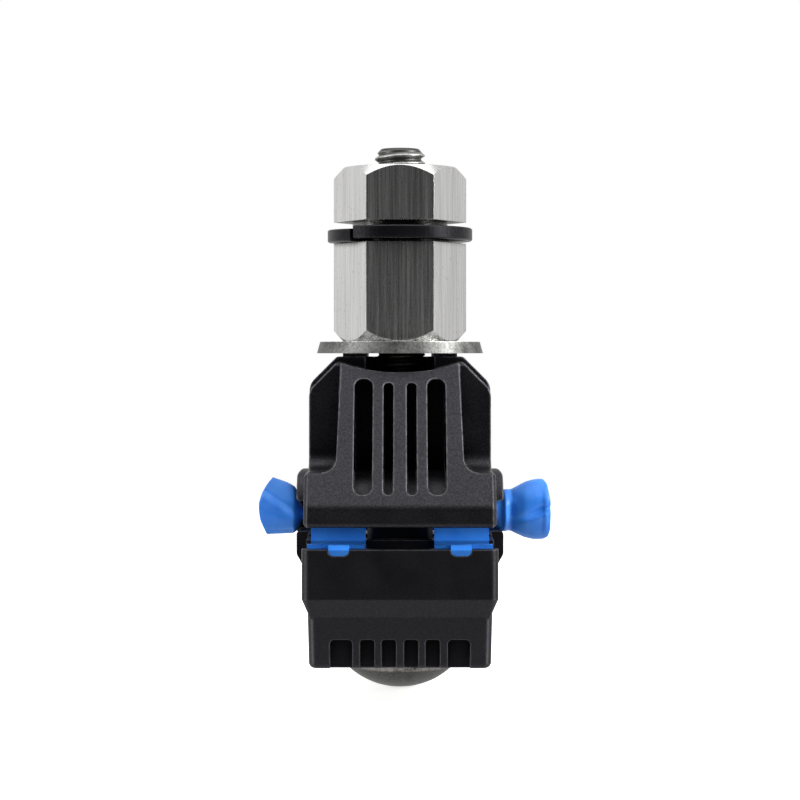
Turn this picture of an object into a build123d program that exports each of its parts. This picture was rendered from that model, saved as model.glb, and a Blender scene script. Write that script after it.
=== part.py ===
from build123d import *
import os
from math import atan2, cos, degrees, radians, sin

# Insulation piercing connector with one clamp bolt, at its real size in millimetres.
# The run cable lies in the front groove along X, the tap cable in the rear groove,
# and the bolt stands between them along Z. The origin is on the axis of the run trough,
# halfway along it. The jaws stand as far open as their closed stop leaves them.

# Grooves and their places about the bolt
run_radius = 7.5
tap_radius = 6.0
run_to_bolt = 14.5
bolt_to_tap = 13.0
tap_lift = 2.6
jaw_gap = 3.2
run_rim = 1.4
tap_rim_drop = 0.8
lip_wall = 3.0

# Clamp bolt
thread_diameter = 8.0
bolt_length = 79.1
head_diameter = 20.6
head_height = 5.8
square_neck_width = 8.0
square_neck_height = 4.6
bolt_end_chamfer = 1.0

# Shear nut
nut_across_flats = 18.0
drive_hex_height = 8.5
nut_hex_height = 15.4
shear_neck_height = 3.3
shear_neck_diameter = 14.9
shear_relief_diameter = 11.8
hex_corner_drop = 1.7
hex_face_shrink = 0.1

# Spacer ring and plate washer
ring_width = 3.8
ring_thickness = 2.4
ring_split = 0.5
ring_split_angle = 41.0
washer_diameter = 26.1
washer_draft = 0.5
washer_thickness = 1.8

# Upper jaw
washer_seat = 30.25
seat_pad_height = 0.5
seat_pad_inner = 5.3
core_half_width = 13.9
core_corner_radius = 2.5
core_top_half_width = 9.7
core_half_depth = 8.0
wall_thickness = 2.5
wall_drop = 1.0
panel_top_half_width = 9.0
panel_foot_half_width = 9.5
panel_proud = 0.4
panel_dish = 1.45
panel_flare = 2.0
band_half_width = 14.2
band_chamfer = 0.5
ledge_wall = 1.9
ledge_fillet = 2.5
lip_shoulder = 3.0
lip_nose_radius = 1.6
guide_top = 19.0
pocket_top_margin = 2.4
pocket_floor_wall = 1.9
pocket_back_wall = 2.6
wide_pocket_width = 2.8
narrow_pocket_width = 1.5
wide_pocket_place = 5.5
narrow_pocket_place = 1.75
narrow_pocket_drop = 0.6
pocket_foot = 4.8
pocket_corner = 0.42

# Lower jaw
base_half_width = 14.5
base_depth = 16.4
shoulder_level = -6.0
shoulder_drop = 1.8
shoulder_step = 0.8
shoulder_run_on = 1.28
base_taper = 1.4
base_side_taper = 0.2
base_corner_radius = 1.4
base_foot_radius = 0.9
guide_half_width = 5.1
guide_half_depth = 5.4
guide_corner_radius = 2.0
notch_height = 4.4
notch_depth = 1.6
notch_corner = 0.22
notch_places = (1.65, 4.84, 8.7)
notch_widths = (2.15, 2.15, 3.35)

# Tap collars and cable boots
collar_reach = 16.6
collar_half_depth = 6.9
collar_height = 4.9
collar_foot = -5.6
boot_level = 4.5
boot_neck_radius = 3.6
boot_wall = 0.6
boot_mouth_radius = 4.85
boot_tip = 23.8
boot_shift = 0.6
boot_rim_radius = 8.5
boot_bead_radius = 4.4
boot_bead_width = 1.0
boot_seam_turn = 45.0

# Contact blades
blade_place = 9.0
blade_thickness = 1.6
blade_back = 1.2
tooth_height = 1.7
tooth_bite = 1.6
run_tooth_count = 6
tap_tooth_count = 5
tooth_spread = 48.0
lower_blade_depth = 11.0

# Silicone seals
seal_inner_end = 5.3
seal_outer_end = 13.7
tap_seal_outer_end = 11.8
seal_recess = 0.6
seal_thickness = 1.2
seal_front_rise = 0.6
seal_upstand = 2.8
tab_width = 3.0
tab_drop = 0.9
tab_corner_radius = 0.8

# Clearances and edge rounding
thread_clearance = 0.06
bolt_clearance = 0.3
square_clearance = 0.1
guide_clearance = 0.25
stop_clearance = 0.3
neck_clearance = 0.1
boot_clearance = 0.2
seal_clearance = 0.05
slot_clearance = 0.05
slit_clearance = 0.1
edge_radius = 0.6
corner_radius = 0.9

# Places worked out from the sizes above
bolt_y = run_to_bolt
tap_y = run_to_bolt + bolt_to_tap
front_reach = run_to_bolt + run_radius + lip_wall
rear_reach = bolt_to_tap + tap_radius + lip_wall
run_arch_level = jaw_gap
tap_arch_level = tap_lift + jaw_gap
tap_rim = tap_lift - tap_rim_drop
front_lip_level = run_rim + jaw_gap
rear_lip_level = tap_arch_level + tap_rim_drop
core_top = washer_seat - seat_pad_height
wall_top = core_top - wall_drop
dish_level = wall_top - panel_dish
wall_reach = core_half_depth + wall_thickness
panel_top_reach = wall_reach + panel_proud
corner_drop = core_half_width - core_top_half_width
base_level = -base_depth
washer_top = washer_seat + washer_thickness
nut_neck_level = washer_top + nut_hex_height
drive_hex_level = nut_neck_level + shear_neck_height
nut_top = drive_hex_level + drive_hex_height
bolt_hole_radius = thread_diameter / 2 + bolt_clearance
seal_seat_outer = run_radius + seal_recess
collar_inner = band_half_width - stop_clearance
collar_top = rear_lip_level + collar_height


def rounded_outline(corners):
    """Closed flat outline through corners given as (across, up, radius)."""
    outline = make_face(Polyline(*[(across, up) for across, up, radius in corners], close=True))
    for across, up, radius in corners:
        if radius > 0:
            corner = outline.vertices().sort_by_distance((across, up, 0))[0]
            outline = fillet(corner, radius)
    return outline


def along_x(outline, start, end):
    """Prism of a YZ outline between two places on X."""
    return extrude(Plane.YZ.offset(start) * outline, amount=end - start, dir=(1, 0, 0))


def along_y(outline, start, end):
    """Prism of an XZ outline between two places on Y."""
    return extrude(Plane.XZ.offset(-start) * outline, amount=end - start, dir=(0, 1, 0))


def across_x(outline, half_width):
    """Prism of a YZ outline, the same on both sides of the middle."""
    return along_x(outline, -half_width, half_width)


def rod_x(radius, start, end, y, z):
    """Cylinder along X between two places, about the axis at y, z."""
    return along_x(Pos(y, z) * Circle(radius), start, end)


def rod_z(radius, start, end):
    """Cylinder along Z about the bolt axis."""
    return Pos(0, bolt_y, start) * extrude(Circle(radius), amount=end - start)


def both_sides(piece):
    """A piece and its mirror image in the middle plane."""
    return piece + mirror(piece, about=Plane.YZ)


def outward(side, corners):
    """Corners given by their distance from the bolt, on the front (-1) or rear (+1) side."""
    return [(bolt_y + side * reach, up, radius) for reach, up, radius in corners]


def slope_reach(reach, lip_level, level):
    """Distance from the bolt of the sloping front at one height."""
    foot_level = lip_level + lip_shoulder
    share = (wall_top - level) / (wall_top - foot_level)
    return panel_top_reach + share * (reach - panel_top_reach)


def hood_outline(top_level):
    """Front view of the hood's block, with its 45 degree top corners."""
    return rounded_outline([
        (-core_half_width, front_lip_level, 0),
        (core_half_width, front_lip_level, 0),
        (core_half_width, top_level - corner_drop, core_corner_radius),
        (core_top_half_width, top_level, corner_radius),
        (-core_top_half_width, top_level, corner_radius),
        (-core_half_width, top_level - corner_drop, core_corner_radius),
    ])


def panel_outline(foot, ledge):
    """Front view of a sloping panel, whose sides flare out in arcs to the ledge."""
    flare_half_width = panel_foot_half_width + panel_flare
    flare_level = ledge + panel_flare
    arc_drop = panel_flare * cos(radians(45))
    return make_face([
        Polyline(
            (-flare_half_width, ledge), (-flare_half_width, foot),
            (flare_half_width, foot), (flare_half_width, ledge)
        ),
        ThreePointArc(
            (flare_half_width, ledge), (flare_half_width - arc_drop, flare_level - arc_drop),
            (panel_foot_half_width, flare_level)
        ),
        Polyline(
            (panel_foot_half_width, flare_level), (panel_top_half_width, wall_top),
            (-panel_top_half_width, wall_top), (-panel_foot_half_width, flare_level)
        ),
        ThreePointArc(
            (-panel_foot_half_width, flare_level), (arc_drop - flare_half_width, flare_level - arc_drop),
            (-flare_half_width, ledge)
        ),
    ])


def hood_side(side, reach, lip_level, arch_level, groove_radius):
    """One side of the hood: its lip, the ledge above it, the wall and the sloping panel."""
    ledge = arch_level + groove_radius + ledge_wall
    ledge_end = slope_reach(reach, lip_level, ledge)
    band = across_x(rounded_outline(outward(side, [
        (0, lip_level, 0),
        (reach, lip_level, edge_radius),
        (reach, lip_level + lip_shoulder, lip_nose_radius),
        (ledge_end, ledge, corner_radius),
        (0, ledge, 0),
    ])), band_half_width)
    band = chamfer(band.faces().filter_by(Axis.X).edges(), band_chamfer)
    wall = across_x(rounded_outline(outward(side, [
        (0, ledge - ledge_wall, 0),
        (wall_reach + 2 * ledge_fillet, ledge - ledge_wall, 0),
        (wall_reach + 2 * ledge_fillet, ledge, 0),
        (wall_reach, ledge, ledge_fillet),
        (wall_reach, wall_top, edge_radius),
        (0, wall_top, 0),
    ])), core_half_width)
    wall_front = bolt_y + side * (wall_reach + 2 * ledge_fillet)
    wall &= along_y(hood_outline(wall_top), min(bolt_y, wall_front), max(bolt_y, wall_front))
    foot = ledge - ledge_wall
    panel = across_x(rounded_outline(outward(side, [
        (0, foot, 0),
        (slope_reach(reach, lip_level, foot), foot, 0),
        (panel_top_reach, wall_top, 0),
        (0, wall_top, 0),
    ])), panel_foot_half_width + panel_flare)
    panel_end = bolt_y + side * reach
    panel &= along_y(panel_outline(foot, ledge), min(bolt_y, panel_end), max(bolt_y, panel_end))
    top_left = (-panel_top_half_width, wall_top)
    top_right = (panel_top_half_width, wall_top)
    above_dish = make_face([
        ThreePointArc(top_left, (0, dish_level), top_right),
        Polyline(top_right, (panel_top_half_width, core_top), (-panel_top_half_width, core_top), top_left),
    ])
    core_face = bolt_y + side * core_half_depth
    dish = along_y(above_dish, min(core_face, panel_end), max(core_face, panel_end))
    return band + wall + panel - dish


def panel_pockets(side, reach, lip_level, arch_y, arch_level, groove_radius):
    """The four upright pockets cored out of one sloping panel."""
    back = bolt_y + side * (guide_half_depth + guide_clearance + pocket_back_wall)
    mouth = bolt_y + side * reach
    foot = lip_level + pocket_foot
    top = wall_top - pocket_top_margin
    floor = rod_x(groove_radius + pocket_floor_wall, -band_half_width, band_half_width, arch_y, arch_level)
    pockets = None
    for place, width, drop in (
        (wide_pocket_place, wide_pocket_width, 0),
        (narrow_pocket_place, narrow_pocket_width, narrow_pocket_drop),
    ):
        height = top - drop - foot
        for x in (-place, place):
            mouth_shape = Pos(x, foot + height / 2) * RectangleRounded(width, height, pocket_corner * width)
            pocket = along_y(mouth_shape, min(back, mouth), max(back, mouth)) - floor
            pockets = pocket if pockets is None else pockets + pocket
    return pockets


def guide_shape(clearance):
    """Plan of the guide sleeve round the bolt, or of its socket."""
    return RectangleRounded(
        2 * (guide_half_width + clearance), 2 * (guide_half_depth + clearance), guide_corner_radius + clearance
    )


def seal_seats(y, z, radius, outer_end):
    """Rings round one groove in which its two seals lie."""
    seat_radius = radius + seal_recess + seal_clearance
    return both_sides(rod_x(seat_radius, seal_inner_end - seal_clearance, outer_end + seal_clearance, y, z))


def collar_block(outline):
    """Tap collar on both sides, about the tap groove."""
    return both_sides(along_y(outline, tap_y - collar_half_depth, tap_y + collar_half_depth))


def boot_hole():
    """Round way through the collars in which the boots' necks lie."""
    return rod_x(boot_neck_radius + boot_clearance, -2 * collar_reach, 2 * collar_reach, tap_y, boot_level)


def blade_slots(outline):
    """Slots in a jaw for its two contact blades, of a side view that clears them."""
    half = blade_thickness / 2 + slot_clearance
    return both_sides(along_x(outline, blade_place - half, blade_place + half))


def make_upper_jaw():
    """Moulded hood that the nut presses down on both cables."""
    core = along_y(hood_outline(core_top), bolt_y - core_half_depth, bolt_y + core_half_depth)
    pad_width = core_top_half_width - seat_pad_inner
    pads = both_sides(
        Pos((core_top_half_width + seat_pad_inner) / 2 - edge_radius, bolt_y, core_top + seat_pad_height / 2)
        * Box(pad_width - edge_radius, 2 * core_half_depth - 2 * edge_radius, seat_pad_height)
    )
    jaw = core + pads
    jaw += hood_side(-1, front_reach, front_lip_level, run_arch_level, run_radius)
    jaw += hood_side(1, rear_reach, rear_lip_level, tap_arch_level, tap_radius)
    below_rear = Pos(0, bolt_y, 0) * Box(
        4 * core_half_width, 2 * rear_reach, 2 * rear_lip_level, align=(Align.CENTER, Align.MIN, Align.CENTER)
    )
    jaw -= below_rear
    collars = collar_block(rounded_outline([
        (core_top_half_width, rear_lip_level, 0),
        (collar_reach, rear_lip_level, edge_radius),
        (collar_reach, collar_top, 2 * edge_radius),
        (core_top_half_width, collar_top, 0),
    ]))
    jaw += collars & rod_x(collar_top - boot_level, -collar_reach, collar_reach, tap_y, boot_level)
    jaw -= panel_pockets(-1, front_reach, front_lip_level, 0, run_arch_level, run_radius)
    jaw -= panel_pockets(1, rear_reach, rear_lip_level, tap_y, tap_arch_level, tap_radius)
    jaw -= rod_x(run_radius, -2 * band_half_width, 2 * band_half_width, 0, run_arch_level)
    jaw -= rod_x(tap_radius, -collar_inner, collar_inner, tap_y, tap_arch_level)
    jaw -= seal_seats(0, run_arch_level, run_radius, seal_outer_end)
    jaw -= seal_seats(tap_y, tap_arch_level, tap_radius, tap_seal_outer_end)
    jaw -= boot_hole()
    jaw -= blade_slots(upper_blade_outline(True))
    jaw -= Pos(0, bolt_y, dish_level) * Box(
        2 * seat_pad_inner, core_half_depth, core_top - dish_level, align=(Align.CENTER, Align.MAX, Align.MIN)
    )
    socket_height = guide_top + stop_clearance
    jaw -= Pos(0, bolt_y, 0) * extrude(guide_shape(guide_clearance), amount=socket_height)
    jaw -= rod_z(bolt_hole_radius, 0, washer_top)
    return jaw


def tab_outline(clearance):
    """Front view of a seal's tab in the front rim, open to the top."""
    half = tab_width / 2 + clearance
    foot = run_rim - tab_drop - clearance
    return Pos(blade_place, 0) * rounded_outline([
        (-half, foot, tab_corner_radius),
        (half, foot, tab_corner_radius),
        (half, run_rim + seal_front_rise, 0),
        (-half, run_rim + seal_front_rise, 0),
    ])


def base_block(front, rear):
    """Outer block of the base: upright rim, sloping shoulder and tapered foot, all with rounded corners."""
    middle = (front + rear) / 2
    rim_plan = RectangleRounded(2 * base_half_width, rear - front, base_corner_radius)
    rim = Pos(0, middle, shoulder_level) * extrude(rim_plan, amount=tap_rim - shoulder_level)
    # The slope of the shoulder runs on inside the foot, so that the two meet in a clean edge
    slope = degrees(atan2(shoulder_step, shoulder_drop))
    shoulder_end = shoulder_drop * shoulder_run_on / shoulder_step
    downward = Plane((0, middle, shoulder_level), x_dir=(1, 0, 0), z_dir=(0, 0, -1))
    shoulder = extrude(downward * rim_plan, amount=shoulder_end, taper=slope)
    foot_half = base_half_width - shoulder_step
    bottom_half = foot_half - base_side_taper
    foot = along_y(make_face(Polyline(
        (-foot_half, shoulder_level), (foot_half, shoulder_level),
        (bottom_half, base_level), (-bottom_half, base_level), close=True
    )), front, rear)
    foot &= across_x(make_face(Polyline(
        (front + shoulder_step, shoulder_level), (rear - shoulder_step, shoulder_level),
        (rear - shoulder_step - base_taper, base_level),
        (front + shoulder_step + base_taper, base_level), close=True
    )), base_half_width)
    upright = [edge for edge in foot.edges() if abs((edge @ 1).Z - (edge @ 0).Z) > shoulder_drop]
    foot = fillet(upright, base_corner_radius)
    foot = fillet(foot.faces().sort_by(Axis.Z)[0].edges(), base_foot_radius)
    return rim + shoulder + foot


def make_lower_jaw():
    """Moulded base with both troughs, the guide sleeve and the notched bottom edge."""
    front = bolt_y - front_reach
    rear = bolt_y + rear_reach
    jaw = base_block(front, rear)
    jaw -= Pos(0, bolt_y, run_rim) * Box(
        4 * base_half_width, 2 * front_reach, tap_rim, align=(Align.CENTER, Align.MAX, Align.MIN)
    )
    jaw += Pos(0, bolt_y, base_level + base_depth / 2) * extrude(
        guide_shape(0), amount=guide_top - base_level - base_depth / 2
    )
    jaw += collar_block(rounded_outline([
        (core_top_half_width, tap_rim, 0),
        (collar_reach, tap_rim, edge_radius),
        (collar_reach, (tap_rim + collar_foot) / 2, 2 * edge_radius),
        (base_half_width, collar_foot, 0),
        (core_top_half_width, collar_foot, 0),
    ]))
    notch_reach = shoulder_step + base_taper + notch_depth
    for place, width in zip(notch_places, notch_widths):
        mouth = Pos(place, base_level) * RectangleRounded(width, 2 * notch_height, notch_corner * width)
        jaw -= both_sides(along_y(mouth, front, front + notch_reach))
        jaw -= both_sides(along_y(mouth, rear - notch_reach, rear))
    jaw -= rod_x(run_radius, -2 * base_half_width, 2 * base_half_width, 0, 0)
    jaw -= Pos(0, 0, run_rim / 2) * Box(4 * base_half_width, 2 * run_radius, run_rim)
    jaw -= rod_x(tap_radius, -collar_inner, collar_inner, tap_y, tap_lift)
    jaw -= seal_seats(0, 0, run_radius, seal_outer_end)
    seat_width = seal_outer_end - seal_inner_end + 2 * seal_clearance
    jaw -= both_sides(
        Pos((seal_outer_end + seal_inner_end) / 2, 0, run_rim / 2)
        * Box(seat_width, 2 * (seal_seat_outer + seal_clearance), run_rim)
    )
    jaw -= seal_seats(tap_y, tap_lift, tap_radius, tap_seal_outer_end)
    jaw -= both_sides(along_y(tab_outline(seal_clearance), front, 0))
    jaw -= boot_hole()
    jaw -= blade_slots(lower_blade_outline(True))
    jaw -= rod_z(bolt_hole_radius, base_level, guide_top)
    neck = square_neck_width + 2 * square_clearance
    jaw -= Pos(0, bolt_y, base_level) * Box(
        neck, neck, square_neck_height + square_clearance, align=(Align.CENTER, Align.CENTER, Align.MIN)
    )
    return jaw


def crown_back(y, z, radius, upward, clearance):
    """Corners of the back of a blade's toothed sector about one groove."""
    middle = 90 if upward else -90
    outer = radius + blade_back + clearance
    spread = tooth_spread + degrees(clearance / radius)
    angles = [radians(middle + spread * share) for share in (1, 0.5, 0, -0.5, -1)]
    return [(y + outer * cos(angle), z + outer * sin(angle)) for angle in angles]


def tooth_crown(y, z, radius, count, upward):
    """Toothed sector of a blade about one groove; teeth point at the groove's axis."""
    tip = radius - tooth_bite
    root = tip + tooth_height
    middle = 90 if upward else -90
    step = 2 * tooth_spread / count
    points = []
    for index in range(count):
        start = middle - tooth_spread + index * step
        points.append((root, radians(start)))
        points.append((tip, radians(start + step / 2)))
    points.append((root, radians(middle + tooth_spread)))
    teeth = [(y + r * cos(angle), z + r * sin(angle)) for r, angle in points]
    return make_face(Polyline(*teeth, *crown_back(y, z, radius, upward, 0), close=True))


def slot_crown(y, z, radius, upward):
    """Sector that clears a blade's teeth, from the groove's axis outward."""
    return make_face(Polyline((y, z), *crown_back(y, z, radius, upward, 2 * slot_clearance), close=True))


def blade_outline(level_from, level_to, run_level, tap_level, upward, slot):
    """Side view of a blade, a plate with a crown of teeth at each groove, or of its slot."""
    grow = slot_clearance if slot else 0
    plate_start = -(run_radius - tooth_bite)
    plate_end = tap_y + tap_radius - tooth_bite / 2
    plate = Pos((plate_start + plate_end) / 2, (level_from + level_to) / 2) * Rectangle(
        plate_end - plate_start + 2 * grow, level_to - level_from + 2 * grow
    )
    if slot:
        plate += slot_crown(0, run_level, run_radius, upward)
        return plate + slot_crown(tap_y, tap_level, tap_radius, upward)
    clear = seal_recess + seal_clearance + slot_clearance
    plate -= Pos(0, run_level) * Circle(run_radius + clear)
    plate -= Pos(tap_y, tap_level) * Circle(tap_radius + clear)
    plate += tooth_crown(0, run_level, run_radius, run_tooth_count, upward)
    return plate + tooth_crown(tap_y, tap_level, tap_radius, tap_tooth_count, upward)


def lower_blade_outline(slot):
    """Side view of the blades in the base, or of their slots."""
    return blade_outline(-lower_blade_depth, run_rim - seal_front_rise, 0, tap_lift, False, slot)


def upper_blade_outline(slot):
    """Side view of the blades in the hood, or of their slots."""
    top = run_arch_level + run_radius + blade_back
    return blade_outline(rear_lip_level + seal_front_rise, top, run_arch_level, tap_arch_level, True, slot)


def make_blade(outline, side):
    """Toothed contact plate on the left (-1) or right (+1)."""
    middle = side * blade_place
    return along_x(outline, middle - blade_thickness / 2, middle + blade_thickness / 2)


def seal_ring(y, z, radius):
    """Side view of the silicone lining round a whole groove."""
    outer = radius + seal_recess
    return Pos(y, z) * (Circle(outer) - Circle(outer - seal_thickness))


def half_plane(y, z, radius, upward):
    """Part of the side view above or below one level, about one groove."""
    size = 3 * radius
    return Pos(y, z + (size / 2 if upward else -size / 2)) * Rectangle(size, size)


def seal_slit(y, z, radius, upward):
    """Cut in a seal for the blade's teeth, over the toothed sector."""
    spread = radians(tooth_spread + 4)
    reach = 2 * radius
    rise = reach * cos(spread) if upward else -reach * cos(spread)
    wedge = make_face(Polyline(
        (y, z), (y + reach * sin(spread), z + rise), (y - reach * sin(spread), z + rise), close=True
    ))
    half = blade_thickness / 2 + slit_clearance
    return along_x(wedge, blade_place - half, blade_place + half)


def make_seal(y, z, radius, level, upward, outer_end, side):
    """Silicone saddle in one groove, up to one level, on the left (-1) or right (+1)."""
    profile = seal_ring(y, z, radius) & half_plane(y, level, radius, upward)
    seal = along_x(profile, seal_inner_end, outer_end) - seal_slit(y, z, radius, upward)
    return seal if side > 0 else mirror(seal, about=Plane.YZ)


def make_lower_run_seal(side):
    """Saddle of the run trough, with its upstand by the bolt and its tab in the front rim."""
    profile = seal_ring(0, 0, run_radius) & half_plane(0, 0, run_radius, False)
    middle = seal_seat_outer - seal_thickness / 2
    front_height = run_rim + seal_front_rise
    upstand_height = run_rim + seal_upstand
    profile += Pos(-middle, front_height / 2) * Rectangle(seal_thickness, front_height)
    profile += Pos(middle, upstand_height / 2) * Rectangle(seal_thickness, upstand_height)
    seal = along_x(profile, seal_inner_end, seal_outer_end)
    seal += along_y(tab_outline(0), bolt_y - front_reach, -middle)
    seal -= seal_slit(0, 0, run_radius, False)
    return seal if side > 0 else mirror(seal, about=Plane.YZ)


def make_boot(side):
    """Thin silicone sleeve with a bead inside the collar and a flared mouth outside."""
    bead_start = collar_inner - boot_shift - 2 * boot_bead_width
    bead_end = bead_start + boot_bead_width
    inner_neck = boot_neck_radius - boot_wall
    inner_mouth = boot_mouth_radius - boot_wall
    outline = Polyline(
        (bead_end, boot_bead_radius), (bead_end, boot_neck_radius), (collar_reach, boot_neck_radius),
        (boot_tip, boot_mouth_radius), (boot_tip, inner_mouth),
        (collar_reach, inner_neck), (bead_start, inner_neck), (bead_start, boot_bead_radius), close=True
    )
    sleeve = Rot(boot_seam_turn, 0, 0) * revolve(make_face(outline), axis=Axis.X)
    rim = Rot(90, 0, 0) * Cylinder(boot_rim_radius, 4 * boot_mouth_radius)
    sleeve &= Pos(boot_tip - boot_rim_radius, 0, 0) * rim
    if side < 0:
        sleeve = mirror(sleeve, about=Plane.YZ)
    return Pos(boot_shift, tap_y, boot_level) * sleeve


def make_clamp_bolt():
    """Carriage bolt: dome head, square neck and plain rod at the thread's outer size."""
    head_radius = head_diameter / 2
    dome_radius = (head_radius ** 2 + head_height ** 2) / (2 * head_height)
    dome = make_face([
        Line((0, 0), (head_radius, 0)),
        RadiusArc((head_radius, 0), (0, -head_height), dome_radius),
        Line((0, -head_height), (0, 0)),
    ])
    head = revolve(Plane.XZ * dome, axis=Axis.Z)
    neck = Box(square_neck_width, square_neck_width, square_neck_height,
               align=(Align.CENTER, Align.CENTER, Align.MIN))
    rod = extrude(Circle(thread_diameter / 2), amount=bolt_length)
    rod = chamfer(rod.edges().group_by(Axis.Z)[-1], bolt_end_chamfer)
    return Pos(0, bolt_y, base_level) * (head + neck + rod)


def make_shear_nut():
    """Double hexagon with a turned neck between the break-off drive hex and the nut."""
    flat = nut_across_flats / 2
    corner = flat / cos(radians(30))
    height = nut_top - washer_top
    hexagon = extrude(RegularPolygon(flat, 6, major_radius=False), amount=height)
    face_radius = flat - hex_face_shrink
    barrel = revolve(Plane.XZ * make_face(Polyline(
        (0, 0), (face_radius, 0), (corner, hex_corner_drop), (corner, height - hex_corner_drop),
        (face_radius, height), (0, height), close=True,
    )), axis=Axis.Z)
    nut = hexagon & barrel
    groove = Circle(2 * corner) - Circle(shear_neck_diameter / 2)
    nut -= Pos(0, 0, nut_hex_height) * extrude(groove, amount=shear_neck_height)
    nut -= extrude(Circle(thread_diameter / 2 + thread_clearance), amount=height)
    nut -= Pos(0, 0, nut_hex_height) * extrude(Circle(shear_relief_diameter / 2), amount=height)
    return Pos(0, bolt_y, washer_top) * nut


def make_spacer_ring():
    """Split plastic ring clipped round the shear neck, resting on the nut's lower hexagon."""
    inner = shear_neck_diameter / 2 + neck_clearance
    outer = inner + ring_width
    ring = Circle(outer) - Circle(inner)
    split = Rot(0, 0, -90 - ring_split_angle) * Pos(outer, 0) * Rectangle(2 * outer, ring_split)
    return Pos(0, bolt_y, nut_neck_level) * extrude(ring - split, amount=ring_thickness)


def make_plate_washer():
    """Punched plate washer, wider at its lower edge."""
    hole = thread_diameter / 2 + bolt_clearance
    section = make_face(Polyline(
        (hole, 0), (washer_diameter / 2, 0), (washer_diameter / 2 - washer_draft, washer_thickness),
        (hole, washer_thickness), close=True,
    ))
    return Pos(0, bolt_y, washer_seat) * revolve(Plane.XZ * section, axis=Axis.Z)


def all_pieces():
    """Every piece of the connector by its node's name."""
    pieces = {
        "upper_jaw": make_upper_jaw(),
        "lower_jaw": make_lower_jaw(),
        "clamp_bolt": make_clamp_bolt(),
        "shear_nut": make_shear_nut(),
        "spacer_ring": make_spacer_ring(),
        "plate_washer": make_plate_washer(),
    }
    for name, side in (("left", -1), ("right", 1)):
        pieces[f"upper_{name}_blade"] = make_blade(upper_blade_outline(False), side)
        pieces[f"lower_{name}_blade"] = make_blade(lower_blade_outline(False), side)
        pieces[f"upper_{name}_run_seal"] = make_seal(
            0, run_arch_level, run_radius, front_lip_level, True, seal_outer_end, side)
        pieces[f"lower_{name}_run_seal"] = make_lower_run_seal(side)
        pieces[f"upper_{name}_tap_seal"] = make_seal(
            tap_y, tap_arch_level, tap_radius, rear_lip_level, True, tap_seal_outer_end, side)
        pieces[f"lower_{name}_tap_seal"] = make_seal(
            tap_y, tap_lift, tap_radius, tap_rim, False, tap_seal_outer_end, side)
        pieces[f"{name}_cable_boot"] = make_boot(side)
    return pieces


os.makedirs("parts", exist_ok=True)
for node, shape in all_pieces().items():
    export_step(shape, f"parts/{node}.step")
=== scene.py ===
import logging
import math
from dataclasses import dataclass
from enum import Enum
from typing import Callable, Optional, Sequence, Union

import bmesh
import bpy
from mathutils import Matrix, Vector, noise


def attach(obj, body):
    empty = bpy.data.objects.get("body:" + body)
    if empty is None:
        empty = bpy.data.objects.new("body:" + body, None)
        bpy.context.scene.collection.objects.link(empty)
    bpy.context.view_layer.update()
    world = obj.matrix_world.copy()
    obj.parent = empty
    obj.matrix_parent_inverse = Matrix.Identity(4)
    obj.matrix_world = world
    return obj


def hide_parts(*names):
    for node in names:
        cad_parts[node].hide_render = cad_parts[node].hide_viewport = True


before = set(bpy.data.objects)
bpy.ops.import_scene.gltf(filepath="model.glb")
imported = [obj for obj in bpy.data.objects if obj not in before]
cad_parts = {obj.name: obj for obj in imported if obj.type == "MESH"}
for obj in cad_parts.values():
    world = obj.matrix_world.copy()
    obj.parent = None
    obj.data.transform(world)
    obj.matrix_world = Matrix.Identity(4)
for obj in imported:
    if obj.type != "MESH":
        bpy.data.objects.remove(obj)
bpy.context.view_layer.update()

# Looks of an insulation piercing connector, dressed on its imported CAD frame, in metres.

MM = 0.001

# Distance of the bolt's axis and of the tap cable's axis behind the run cable's, in millimetres
BOLT_Y = 14.5
TAP_Y = 27.5

# Sockets of the colour mix node, which has sockets of the same name for each data type
MIX_FACTOR = 0
MIX_FROM = 6
MIX_TO = 7
MIX_RESULT = 2

Tree = bpy.types.NodeTree
Socket = bpy.types.NodeSocket
Span = tuple[float, float]
Stops = Sequence[Span]

log = logging.getLogger("connector")


class Body(Enum):
    """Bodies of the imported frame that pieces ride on."""

    BASE = "base"
    HOOD = "hood"
    NUT = "nut"


class Side(Enum):
    """Which end of the cables a piece stands at, as the sign of X."""

    LEFT = -1
    RIGHT = 1

    @property
    def word(self) -> str:
        """Word that the node names use for this side."""
        return self.name.lower()


def linear(hex_code: str) -> tuple[float, float, float, float]:
    """Turns an sRGB hex value to a linear colour.

    Args:
        hex_code: Colour such as "#1c1c1f".

    Returns:
        Red, green, blue and alpha for a colour socket.
    """
    channels = [int(hex_code[i:i + 2], 16) / 255 for i in (1, 3, 5)]
    values = [c / 12.92 if c <= 0.04045 else ((c + 0.055) / 1.055) ** 2.4 for c in channels]
    return (values[0], values[1], values[2], 1.0)


def add_node(tree: Tree, kind: str, settings: Optional[dict] = None,
             links: Optional[dict] = None) -> bpy.types.Node:
    """Adds a shader node with its settings and its incoming links.

    Args:
        tree: Node tree that gets the node.
        kind: Node type.
        settings: Properties and socket values by name, sockets also by number.
        links: Output sockets of other nodes by the name or number of the input they feed.

    Returns:
        The new node.
    """
    node = tree.nodes.new(kind)
    for key, value in (settings or {}).items():
        if isinstance(key, str) and hasattr(node, key):
            setattr(node, key, value)
        else:
            node.inputs[key].default_value = value
    for key, output in (links or {}).items():
        tree.links.new(output, node.inputs[key])
    return node


def per_metre(size_mm: float) -> float:
    """Pattern scale that gives features of one size in millimetres."""
    return 1 / (size_mm * MM)


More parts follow.
